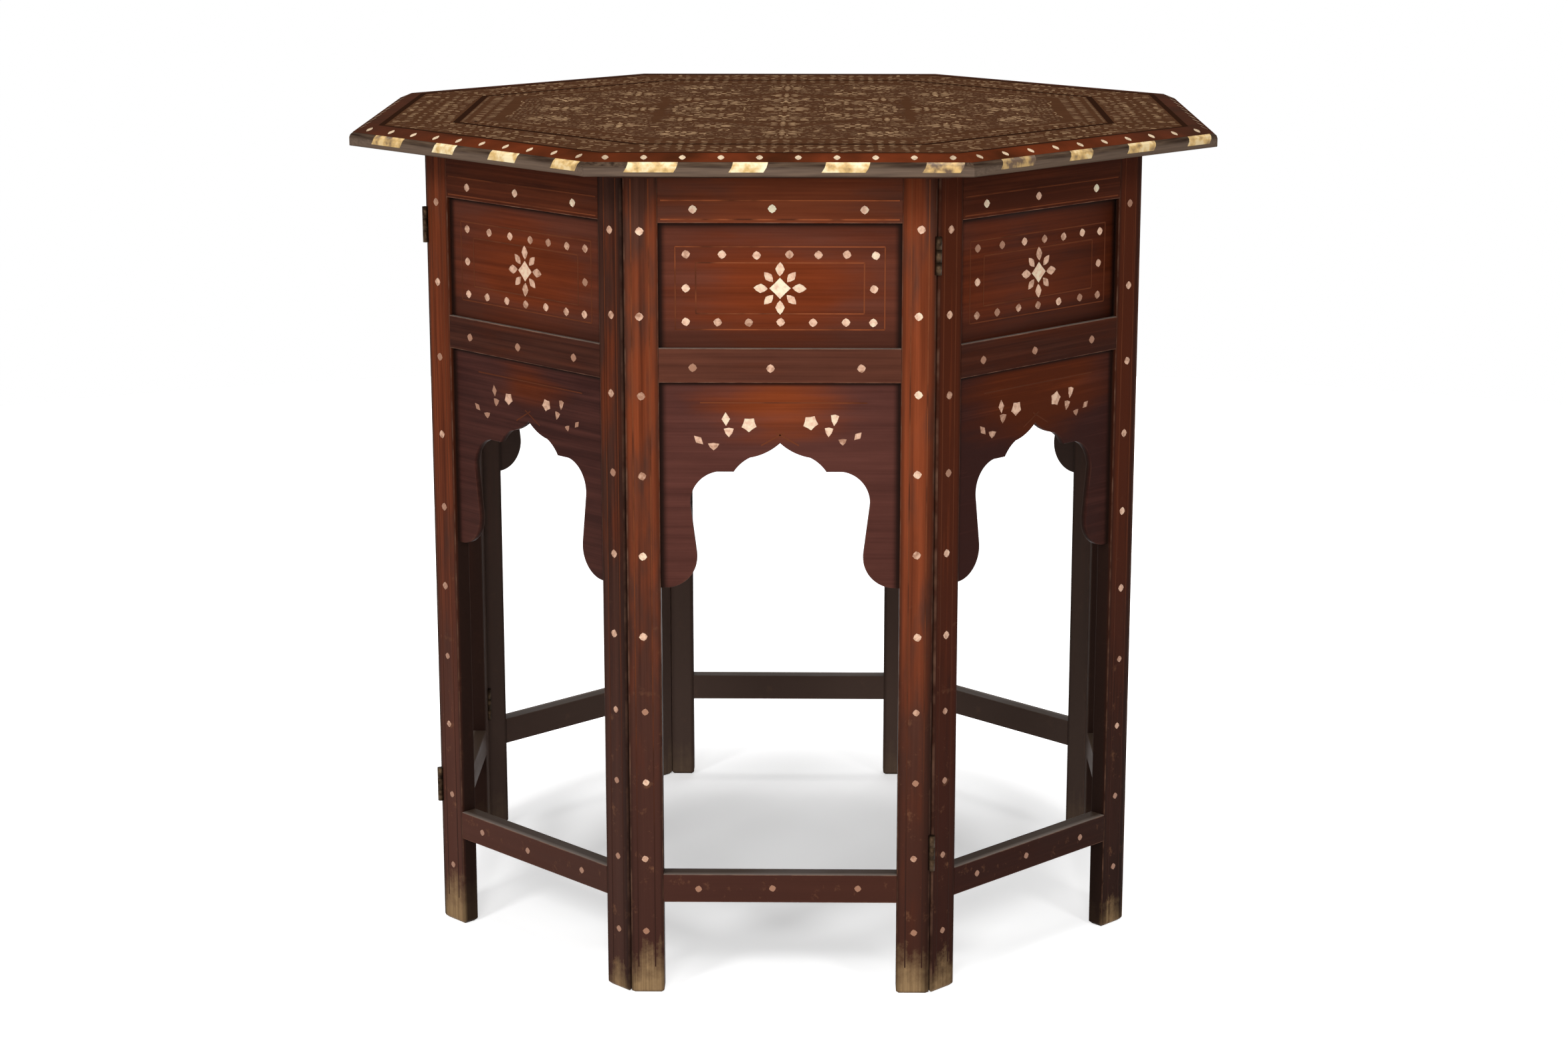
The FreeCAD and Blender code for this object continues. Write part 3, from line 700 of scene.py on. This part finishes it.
# Top board: a plain eight-sided board of sheesham, planed flat, the ground into which the inlay is cut. Its
# underside is left raw. The wood is waxed thin, which makes it a dull brown with faint streaks 6 mm wide.
top_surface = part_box("top_board")[1].z
board_wood, shader = new_material("top_sheesham_ground", 0.6, 0.0)
tree = board_wood.node_tree
place = add_node(tree, "ShaderNodeTexCoord", {}, {}, "Object")
streak = grain_pattern(tree, place, (0.2, 0.006, 0.02), {"Detail": 4.0})
colour = add_node(tree, "ShaderNodeMix", in_colour, {
    "Factor": streak, 6: linear("#3d2617"), 7: linear("#553725")}, 2)
tree.links.new(colour, shader["Base Color"])
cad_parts["top_board"].data.materials.clear()
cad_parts["top_board"].data.materials.append(board_wood)

# Top border: a band of red veneer glued round the edge of the board, bent down over the sloping rim, and two
# lines of black wood let in flush, one inside the band and one round the field.
octagon_share = 1 / math.cos(half_corner)
rim_inner = 0.2985
rim_outer = 0.3080
rim_width = 0.012
rim_fall = 0.005
rim_lip = 0.0035
veneer_inner = 0.2905
veneer_stand = 0.00015
field_line = 0.2395
line_stand = 0.00016
line_bury = 0.0005


def octagon_ring(shape, outer, inner, height):
    """Flat eight-sided ring on the top, given by the distances of its sides from the middle."""
    turn = Matrix.Translation((0, 0, height)) @ Matrix.Rotation(half_corner, 4, "Z")
    drawn = bmesh.ops.create_circle(shape, cap_ends=True, segments=8, radius=outer * octagon_share,
                                    matrix=turn)
    plate = drawn["verts"][0].link_faces[0]
    bmesh.ops.inset_region(shape, faces=[plate], thickness=outer - inner, use_boundary=True,
                           use_even_offset=True)
    bmesh.ops.delete(shape, geom=[plate], context="FACES_ONLY")


def side_place(co):
    """A point of the top turned to the front: along its side, across it with outwards as minus, and up."""
    step = round(math.degrees(math.atan2(co.x, -co.y)) / 45)
    return Matrix.Rotation(math.radians(-45 * step), 3, "Z") @ Vector(co)


def rim_drop(co):
    """How far the sloping rim lies below the flat of the top."""
    outwards = (-side_place(co).y - rim_inner) / rim_width
    return rim_fall * min(1.0, max(0.0, outwards))


# Padauk veneer, scraped and waxed thin: dull brick red in clouds of 35 mm, faded to brown on the far side.
red_veneer, shader = new_material("padauk_border_veneer", 0.55, 0.0)
tree = red_veneer.node_tree
place = add_node(tree, "ShaderNodeTexCoord", {}, {}, "Object")
patches = add_node(tree, "ShaderNodeTexNoise", {}, {"Vector": place, "Scale": 1 / 0.035, "Detail": 4.0})
red = add_node(tree, "ShaderNodeValToRGB", {}, {"Fac": patches}, stops=[
    (0.3, linear("#3f1f10")), (0.7, linear("#662e18"))])
across = add_node(tree, "ShaderNodeSeparateXYZ", {}, {"Vector": place}, "Y")
faded = add_node(tree, "ShaderNodeMapRange", eased, {
    "Value": across, "From Min": -0.25, "From Max": -0.08, "To Max": 0.75})
colour = add_node(tree, "ShaderNodeMix", in_colour, {"Factor": faded, 6: red, 7: linear("#3a2820")}, 2)
tree.links.new(colour, shader["Base Color"])
veneer = bmesh.new()
octagon_ring(veneer, rim_outer, rim_inner, top_surface + veneer_stand)
octagon_ring(veneer, rim_inner, veneer_inner, top_surface + veneer_stand)
bmesh.ops.remove_doubles(veneer, verts=veneer.verts, dist=1e-6)
for corner in veneer.verts:
    corner.co.z -= rim_drop(corner.co)
let_in(veneer, (0, 0, -line_bury))
border = finished(veneer, "top_border_veneer", red_veneer)
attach(border, "top")

# Ebony, planed flush: plain brown black without gloss.
black_wood, shader = new_material("ebony_lines", 0.55, 0.0)
shader["Base Color"].default_value = linear("#2a180f")
lines = bmesh.new()
for outer, width in ((veneer_inner, 0.0040), (field_line, 0.0045)):
    octagon_ring(lines, outer, outer - width, top_surface + line_stand)
let_in(lines, (0, 0, -line_bury))
ebony = finished(lines, "top_ebony_lines", black_wood)
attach(ebony, "top")

# Top inlay: chips of bone and pale wood let into the board: dots along the rim, a leafy border, a chain round
# the field, and in it scrolling vines with rosettes round and inside an eight-pointed star. One sixteenth is
# drawn, mirrored and turned round.
slice_share = math.tan(half_corner)
field_reach = 0.2065
star_reach = 0.132
star_side = star_reach * math.sqrt(0.5)
star_line = 0.004
vine_pitch = 0.0088
leaf_step = 0.006
seam = 0.0022
axis_pitch = 0.004
axis_dot = 0.0030
fill_pitch = 0.003
fill_edge = 0.0016
fill_room = 0.0017
fill_dot = 0.0026
chain_beads = 0.2330
chain_outer = 0.2245
chain_inner = 0.2155
link_length = 0.0088
link_width = 0.0034
link_start = 0.0040
link_pitch = 0.0080
border_dots = 0.3025
dot_start = 0.0128
dot_pitch = 0.0255
browned_from = -0.115
border_start = 0.0042
border_edge = 0.005
border_rows = ((0.2815, 50), (0.2745, -50), (0.2665, 0), (0.2585, 50), (0.2515, -50), (0.2445, 50))
taken = []
half_chips = []
axis_chips = []
dot_chips = []


def note_chip(kept, u, r, turn, length, width, points, waist, tone):
    """Keeps one chip at u along a side and r from the middle, and the room that it takes."""
    kept.append((u, r, turn, length, width, points, waist, tone))
    taken.append((u, r, (length + width) / 4))


def has_room(u, r, size):
    """True in the field, off the lines of the star and clear of the chips before it."""
    square = max(abs(u - r), abs(u + r)) * math.sqrt(0.5)
    upright = max(abs(u), abs(r))
    on_line = abs(square - star_side) < star_line and upright < star_side * math.sqrt(2)
    on_line = on_line or abs(upright - star_side) < star_line and square < star_side * math.sqrt(2)
    clear = all((u - a) ** 2 + (r - b) ** 2 > (0.85 * (size + s)) ** 2 for a, b, s in taken)
    return clear and not on_line and r < field_reach


def rosette(u, r, petals, reach, length, width):
    """A flower on a line of symmetry: a round eye and its petals."""
    note_chip(axis_chips, u, r, 0, 1.3 * width, 1.3 * width, 4, 0.9, 0.1)
    for petal in range(petals):
        angle = 2 * math.pi * petal / petals + math.atan2(-r, u)
        x = u + reach * math.cos(angle)
        y = r - reach * math.sin(angle)
        note_chip(axis_chips, x, y, math.degrees(angle), length, width, 4, 0.85, chance.uniform(0.1, 0.5))


def leaf_tone():
    """Most chips have browned to the tone of the ground; one in six is still pale."""
    return chance.uniform(0.0, 0.3) if chance.random() < 0.17 else chance.uniform(0.6, 1.0)


def scroll(u, r, reach, start, sense):
    """Leaves and stem of one coiled vine, kept where there is room in the half slice."""
    stem = (0, 0, 0.0062, 0.0013)
    outer_leaf = (0.0027, 38, 0.0074, 0.0034)
    inner_leaf = (-0.0027, -38, 0.0074, 0.0034)
    angle = 0.6
    while angle < 2 * math.pi * reach / vine_pitch:
        coil = vine_pitch * angle / (2 * math.pi)
        heading = start + sense * angle
        for off, lean, length, width in (stem, outer_leaf, inner_leaf):
            x = u + (coil + off) * math.cos(heading)
            y = r + (coil + off) * math.sin(heading)
            turn = math.degrees(math.atan2(-math.cos(heading), -math.sin(heading))) + sense * lean
            inside = seam < x < y * slice_share - seam
            if inside and has_room(x, y, 0.3 * length):
                note_chip(half_chips, x, y, turn, length, width, 3, 0.9, leaf_tone())
        angle += leaf_step / max(coil, 0.003)


for reach, ring, length, width in ((0.166, 0.0105, 0.0094, 0.0044), (0.107, 0.0088, 0.0078, 0.0038),
                                   (0.066, 0.0095, 0.0084, 0.0040)):
    rosette(0.0, reach, 8, ring, length, width)
for reach in (0.190, 0.131):
    rosette(reach * math.sin(half_corner), reach * math.cos(half_corner), 8, 0.0098, 0.0088, 0.0040)
for u, r, reach, start, sense in ((0.031, 0.177, 0.030, 2.2, 1), (0.058, 0.180, 0.026, 0.4, -1),
                                  (0.020, 0.140, 0.030, 1.0, -1), (0.047, 0.150, 0.028, 3.0, 1),
                                  (0.014, 0.086, 0.024, 0.2, 1), (0.031, 0.104, 0.026, 2.0, -1),
                                  (0.009, 0.044, 0.020, 1.4, 1), (0.020, 0.070, 0.024, 3.4, -1)):
    scroll(u, r, reach, start, sense)
for step in range(16, 51):
    r = axis_pitch * step
    for u in (0.0, r * slice_share):
        if has_room(u, r, axis_dot / 2):
            note_chip(axis_chips, u, r, 0, axis_dot, axis_dot, 4, 0.8, chance.uniform(0.4, 0.9))
for row in range(8, 68):
    for column in range(1, 30):
        u = fill_pitch * column + fill_pitch / 2 * (row % 2)
        r = fill_pitch * row
        if fill_edge < u < r * slice_share - fill_edge and has_room(u, r, fill_room):
            note_chip(half_chips, u, r, 0, fill_dot, fill_dot, 4, 0.8, chance.uniform(0.5, 1.0))
for dot in range(5):
    tone = chance.choice([0.15, 0.25, 0.4, 0.7])
    note_chip(dot_chips, dot_start + dot_pitch * dot, border_dots, 0, 0.0047, 0.0058, 4, 0.88, tone)
for link in range(12):
    u = link_start + link_pitch * link
    note_chip(half_chips, u, chain_beads, 0, 0.0042, 0.0028, 4, 0.7, 0.6)
    note_chip(half_chips, u, chain_outer, 55, link_length, link_width, 3, 0.9, chance.uniform(0.4, 0.9))
for link in range(11):
    u = link_start + link_pitch * link
    note_chip(half_chips, u, chain_inner, -55, link_length, link_width, 3, 0.9, chance.uniform(0.4, 0.9))
by_hand = random.Random(5)
for link in range(14):
    for r, turn in border_rows:
        u = border_start + link_pitch * link
        if u < r * slice_share - border_edge:
            tone = chance.uniform(0.3, 1.0)
            length = link_length if turn else 0.0046
            u += by_hand.uniform(-0.0016, 0.0016)
            r += by_hand.uniform(-0.0012, 0.0012)
            turn += by_hand.uniform(-30, 30)
            length *= by_hand.uniform(0.6, 1.0)
            note_chip(half_chips, u, r, turn, length, 0.0032, 3, 0.9, tone)


def lay_chips(shape, kept):
    for u, r, turn, length, width, points, waist, tone in kept:
        seat = Matrix.Translation((u, -r, top_surface + chip_stand))
        bone_chip(shape, seat, turn, length, width, points, waist, tone)


def laid_round(halves, middles):
    """The chips of half a slice, mirrored, and those on its lines of symmetry, turned to all eight sides."""
    shape = bmesh.new()
    lay_chips(shape, halves)
    mirrored = bmesh.ops.duplicate(shape, geom=list(shape.verts) + list(shape.edges) + list(shape.faces))
    other_side = [part for part in mirrored["geom"] if isinstance(part, bmesh.types.BMVert)]
    bmesh.ops.scale(shape, vec=(-1, 1, 1), verts=other_side)
    lay_chips(shape, middles)
    bmesh.ops.spin(shape, geom=list(shape.verts) + list(shape.edges) + list(shape.faces), cent=(0, 0, 0),
                   axis=(0, 0, 1), angle=math.radians(315), steps=7, use_duplicate=True)
    return shape


chips = laid_round(half_chips, axis_chips)
middle_ring = 0.014
middle_flower = [(0, 0, 0, 0.010, 0.010, 4, 0.9, 0.2)]
for petal in range(16):
    angle = math.radians(22.5 * petal)
    u = middle_ring * math.cos(angle)
    r = -middle_ring * math.sin(angle)
    middle_flower.append((u, r, 22.5 * petal, 0.0125, 0.0042, 3, 0.9, 0.4))
lay_chips(chips, middle_flower)
let_in(chips, (0, 0, -chip_stand - chip_bury))
top_bone = polished_bone("top_bone_and_pale_wood", ("#aa8b69", "#533828"), 0.006, 0.5, roughness=0.6,
                         gloss=0.0)
top_inlay = finished(chips, "top_inlay", top_bone)
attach(top_inlay, "top")

border_spots = laid_round(dot_chips, [])
dot_tone = border_spots.faces.layers.float["tone"]
for spot in border_spots.faces:
    if spot.calc_center_median().y > browned_from:
        spot[dot_tone] += 0.3
for corner in border_spots.verts:
    corner.co.z -= rim_drop(corner.co)
let_in(border_spots, (0, 0, -chip_stand - chip_bury))
dot_bone = polished_bone("border_dot_bone", ("#e8cfae", "#5f4434"), 0.003, 0.3, gloss=0.0)
top_dots = finished(border_spots, "top_border_dots", dot_bone)
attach(top_dots, "top")

# Edging: eight strips of black-stained hardwood glued round the board and mitred at the corners. Their upper
# side slopes outwards with the rim, and the upright edge below it is rubbed grey by handling.
edging_arris = 0.0005
edging_reach = 0.31
lower_edge = 0.598
rim_level = 0.6035


def lower_arris(a, b, edge):
    return all(v.z < lower_edge and abs(v.y) > edging_reach for v in (a, b))


def rim_height(co):
    """Height of a point of the edge once the rim slopes and the upright edge below it is lower."""
    return co.z - (rim_drop(co) if co.z > rim_level else rim_lip)


# Black stain in an open grain, 2 mm wide and 30 mm long, with grey dust in it: dull, without gloss.
dusty_black, shader = new_material("black_stained_edging", 0.6, 0.0)
tree = dusty_black.node_tree
grain = add_node(tree, "ShaderNodeAttribute", {"attribute_name": "grain"}, {}, "Vector")
dust = grain_pattern(tree, grain, (0.03, 0.002, 0.002), {"Detail": 4.0})
black = add_node(tree, "ShaderNodeValToRGB", {}, {"Fac": dust}, stops=[
    (0.36, linear("#30241d")), (0.66, linear("#5a493b"))])
place = add_node(tree, "ShaderNodeAttribute", {"attribute_name": "place"}, {}, "Vector")
height = add_node(tree, "ShaderNodeSeparateXYZ", {}, {"Vector": place}, "Z")
handled = add_node(tree, "ShaderNodeMapRange", eased, {
    "Value": height, "From Min": 0.5955, "From Max": 0.599, "To Max": 0.4})
below = add_node(tree, "ShaderNodeMapRange", eased, {
    "Value": height, "From Min": 0.603, "From Max": 0.606, "To Min": 1.0, "To Max": 0.0})
handled = add_node(tree, "ShaderNodeMath", {"operation": "MULTIPLY"}, {0: handled, 1: below})
colour = add_node(tree, "ShaderNodeMix", in_colour, {"Factor": handled, 6: black, 7: linear("#816e60")}, 2)
tree.links.new(colour, shader["Base Color"])
edging = wooden_piece("top_edging", side_place, "across", dusty_black, edging_arris, lower_arris)
for corner in edging.data.vertices:
    corner.co.z = rim_height(corner.co)
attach(edging, "top")

# Bone blocks: slips of bone with leaning ends, let into the sloping edge and trimmed flush, four to a side.
# They are yellowed and stained by handling, and browned over on the far sides.
side_wear = [0.0, 0.25, 1.0, 1.0, 1.0, 1.0, 1.0, 0.05]
row_gaps = (-0.05, 0.015, 0.08)
block_wear = {(0, 0): 0.15, (0, 1): -0.3, (0, 3): 0.45, (1, 0): 0.35, (7, 0): 0.3, (7, 3): 0.25}
block_bone = polished_bone("edge_block_bone", ("#f5e6bd", "#d0aa69", "#5d452f"), 0.007, 0.75)
blocks = merged_copy("edging_blocks")
block_tone = blocks.faces.layers.float.new("tone")
for first in blocks.faces:
    if not first.tag:
        first.tag = True
        block = [first]
        for face in block:
            for other in [near for edge in face.edges for near in edge.link_faces]:
                if not other.tag:
                    other.tag = True
                    block.append(other)
        middle = first.calc_center_median()
        side = round(math.degrees(math.atan2(middle.x, -middle.y)) / 45) % 8
        place_in_row = sum(side_place(middle).x > gap for gap in row_gaps)
        wear = side_wear[side] + chance.choice([0.0, 0.05, 0.1, 0.3])
        wear += block_wear.get((side, place_in_row), 0.0)
        for face in block:
            face[block_tone] = wear
for corner in blocks.verts:
    corner.co.z = rim_height(corner.co)
edge_blocks = finished(blocks, "edging_bone_blocks", block_bone)
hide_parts("edging_blocks")
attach(edge_blocks, "top")

# Underframe and battens: a mitred frame with a coved edge under the board, which bears on the base, and two
# cross battens, screwed up into the board. Their sheesham is as the plane left it: dull, in 3 mm streaks.
batten_arris = 0.0006
batten_top = 0.589
shortest_batten = 0.1
under_wood, shader = new_material("unpolished_sheesham_underframe", 0.7, 0.05)
tree = under_wood.node_tree
grain = add_node(tree, "ShaderNodeAttribute", {"attribute_name": "grain"}, {}, "Vector")
streak = grain_pattern(tree, grain, (0.15, 0.003, 0.004), {"Detail": 4.0})
colour = add_node(tree, "ShaderNodeMix", in_colour, {
    "Factor": streak, 6: linear("#2a1811"), 7: linear("#553325")}, 2)
tree.links.new(colour, shader["Base Color"])
underframe = wooden_piece("top_underframe", side_place, "across", under_wood)
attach(underframe, "top")


def long_batten_edge(a, b, edge):
    return edge.calc_length() > shortest_batten and a.z < batten_top and b.z < batten_top


battens = wooden_piece("top_battens", Vector, "across", under_wood, batten_arris, long_batten_edge)
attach(battens, "top")

# Batten screws: countersunk wood screws of turned iron, three to a batten, driven up through it into the
# board. The iron is dull and slightly rusted, a warm grey with a broad gleam.
iron, shader = new_material("dull_screw_iron", 0.5, 0.5)
shader["Base Color"].default_value = linear("#5a524a")
shader["Metallic"].default_value = 1.0
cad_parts["batten_screws"].data.materials.clear()
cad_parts["batten_screws"].data.materials.append(iron)

# Studio: a plain white paper floor that keeps the table's soft shadow, white all round, and five broad soft
# lamps. The paper is matt, and under the table its glow to the camera is turned down, a painted shadow
# darkest near the middle.
floor_radius = 2.2
shadow_middle = (0, 0.06, 0)
lamp_aim = Vector((0, 0, 0.35))
world_light = 0.18


def seen_by_camera(tree):
    """1 for what the camera sees, straight, in a gloss or through glass, and 0 for light on other things."""
    rays = add_node(tree, "ShaderNodeLightPath", {}, {}).node.outputs
    seen = add_node(tree, "ShaderNodeMath", {"operation": "ADD"}, {
        0: rays["Is Camera Ray"], 1: rays["Is Glossy Ray"]})
    return add_node(tree, "ShaderNodeMath", {"operation": "ADD", "use_clamp": True}, {
        0: seen, 1: rays["Is Transmission Ray"]})


white_floor, shader = new_material("white_studio_floor", 0.9, 0.0)
tree = white_floor.node_tree
shader["Base Color"].default_value = (0.9, 0.9, 0.9, 1)
shader["Emission Color"].default_value = (1, 1, 1, 1)
spot = add_node(tree, "ShaderNodeTexCoord", {}, {}, "Object")
spread = add_node(tree, "ShaderNodeVectorMath", {"operation": "DISTANCE"}, {
    0: spot, 1: shadow_middle}, "Value")
# The lift for the camera is low under the table and full from 0.43 m out: a painted shadow.
camera_lift_with_painted_shadow = add_node(tree, "ShaderNodeValToRGB", {}, {"Fac": spread}, stops=[
    (reach, (level, level, level, 1)) for reach, level in ((0.04, 0.17), (0.2, 0.4), (0.43, 1.0))])
camera_lift_with_painted_shadow.node.color_ramp.interpolation = "EASE"
lift = add_node(tree, "ShaderNodeMath", {"operation": "MULTIPLY"}, {0: seen_by_camera(tree), 1: camera_lift_with_painted_shadow})
tree.links.new(lift, shader["Emission Strength"])
floor_shape = bmesh.new()
bmesh.ops.create_circle(floor_shape, cap_ends=True, segments=96, radius=floor_radius)
floor = finished(floor_shape, "studio_floor", white_floor)
floor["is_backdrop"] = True

world = bpy.data.worlds.new("white_studio")
bpy.context.scene.world = world
world.use_nodes = True
tree = world.node_tree
strength = add_node(tree, "ShaderNodeMapRange", {}, {
    "Value": seen_by_camera(tree), "To Min": world_light, "To Max": 1.0})
tree.links.new(strength, tree.nodes["Background"].inputs["Strength"])
tree.nodes["Background"].inputs["Color"].default_value = (1, 1, 1, 1)

for name, stand, power, size in (("left_lamp", (-1.5, -2.1, 1.8), 26, 0.5),
                                 ("right_lamp", (1.5, -2.1, 1.8), 15, 0.5),
                                 ("front_lamp", (-0.3, -3.2, 1.5), 40, 1.2),
                                 ("top_lamp", (0.0, 0.1, 2.8), 36, 1.6),
                                 ("back_lamp", (0.3, 2.6, 1.9), 16, 1.6)):
    lamp = bpy.data.lights.new(name, "AREA")
    lamp.energy = power
    lamp.size = size
    holder = bpy.data.objects.new(name, lamp)
    holder.location = stand
    holder.rotation_euler = (lamp_aim - Vector(stand)).to_track_quat("-Z", "Y").to_euler()
    bpy.context.scene.collection.objects.link(holder)

# Camera: a little above the top and nearly square to the front panel, as in the photograph. The lens is long
# and unshifted, and everything is sharp.
camera = bpy.data.cameras.new("studio_camera")
camera.sensor_width = 36
camera.lens = 70.6
viewpoint = bpy.data.objects.new("studio_camera", camera)
viewpoint.location = (0.0306, -2.3308, 0.8403)
viewpoint.rotation_euler = (math.radians(76.655), 0, math.radians(0.7699))
bpy.context.scene.collection.objects.link(viewpoint)
bpy.context.scene.camera = viewpoint
bpy.context.scene.view_settings.view_transform = "Standard"

low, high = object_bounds()
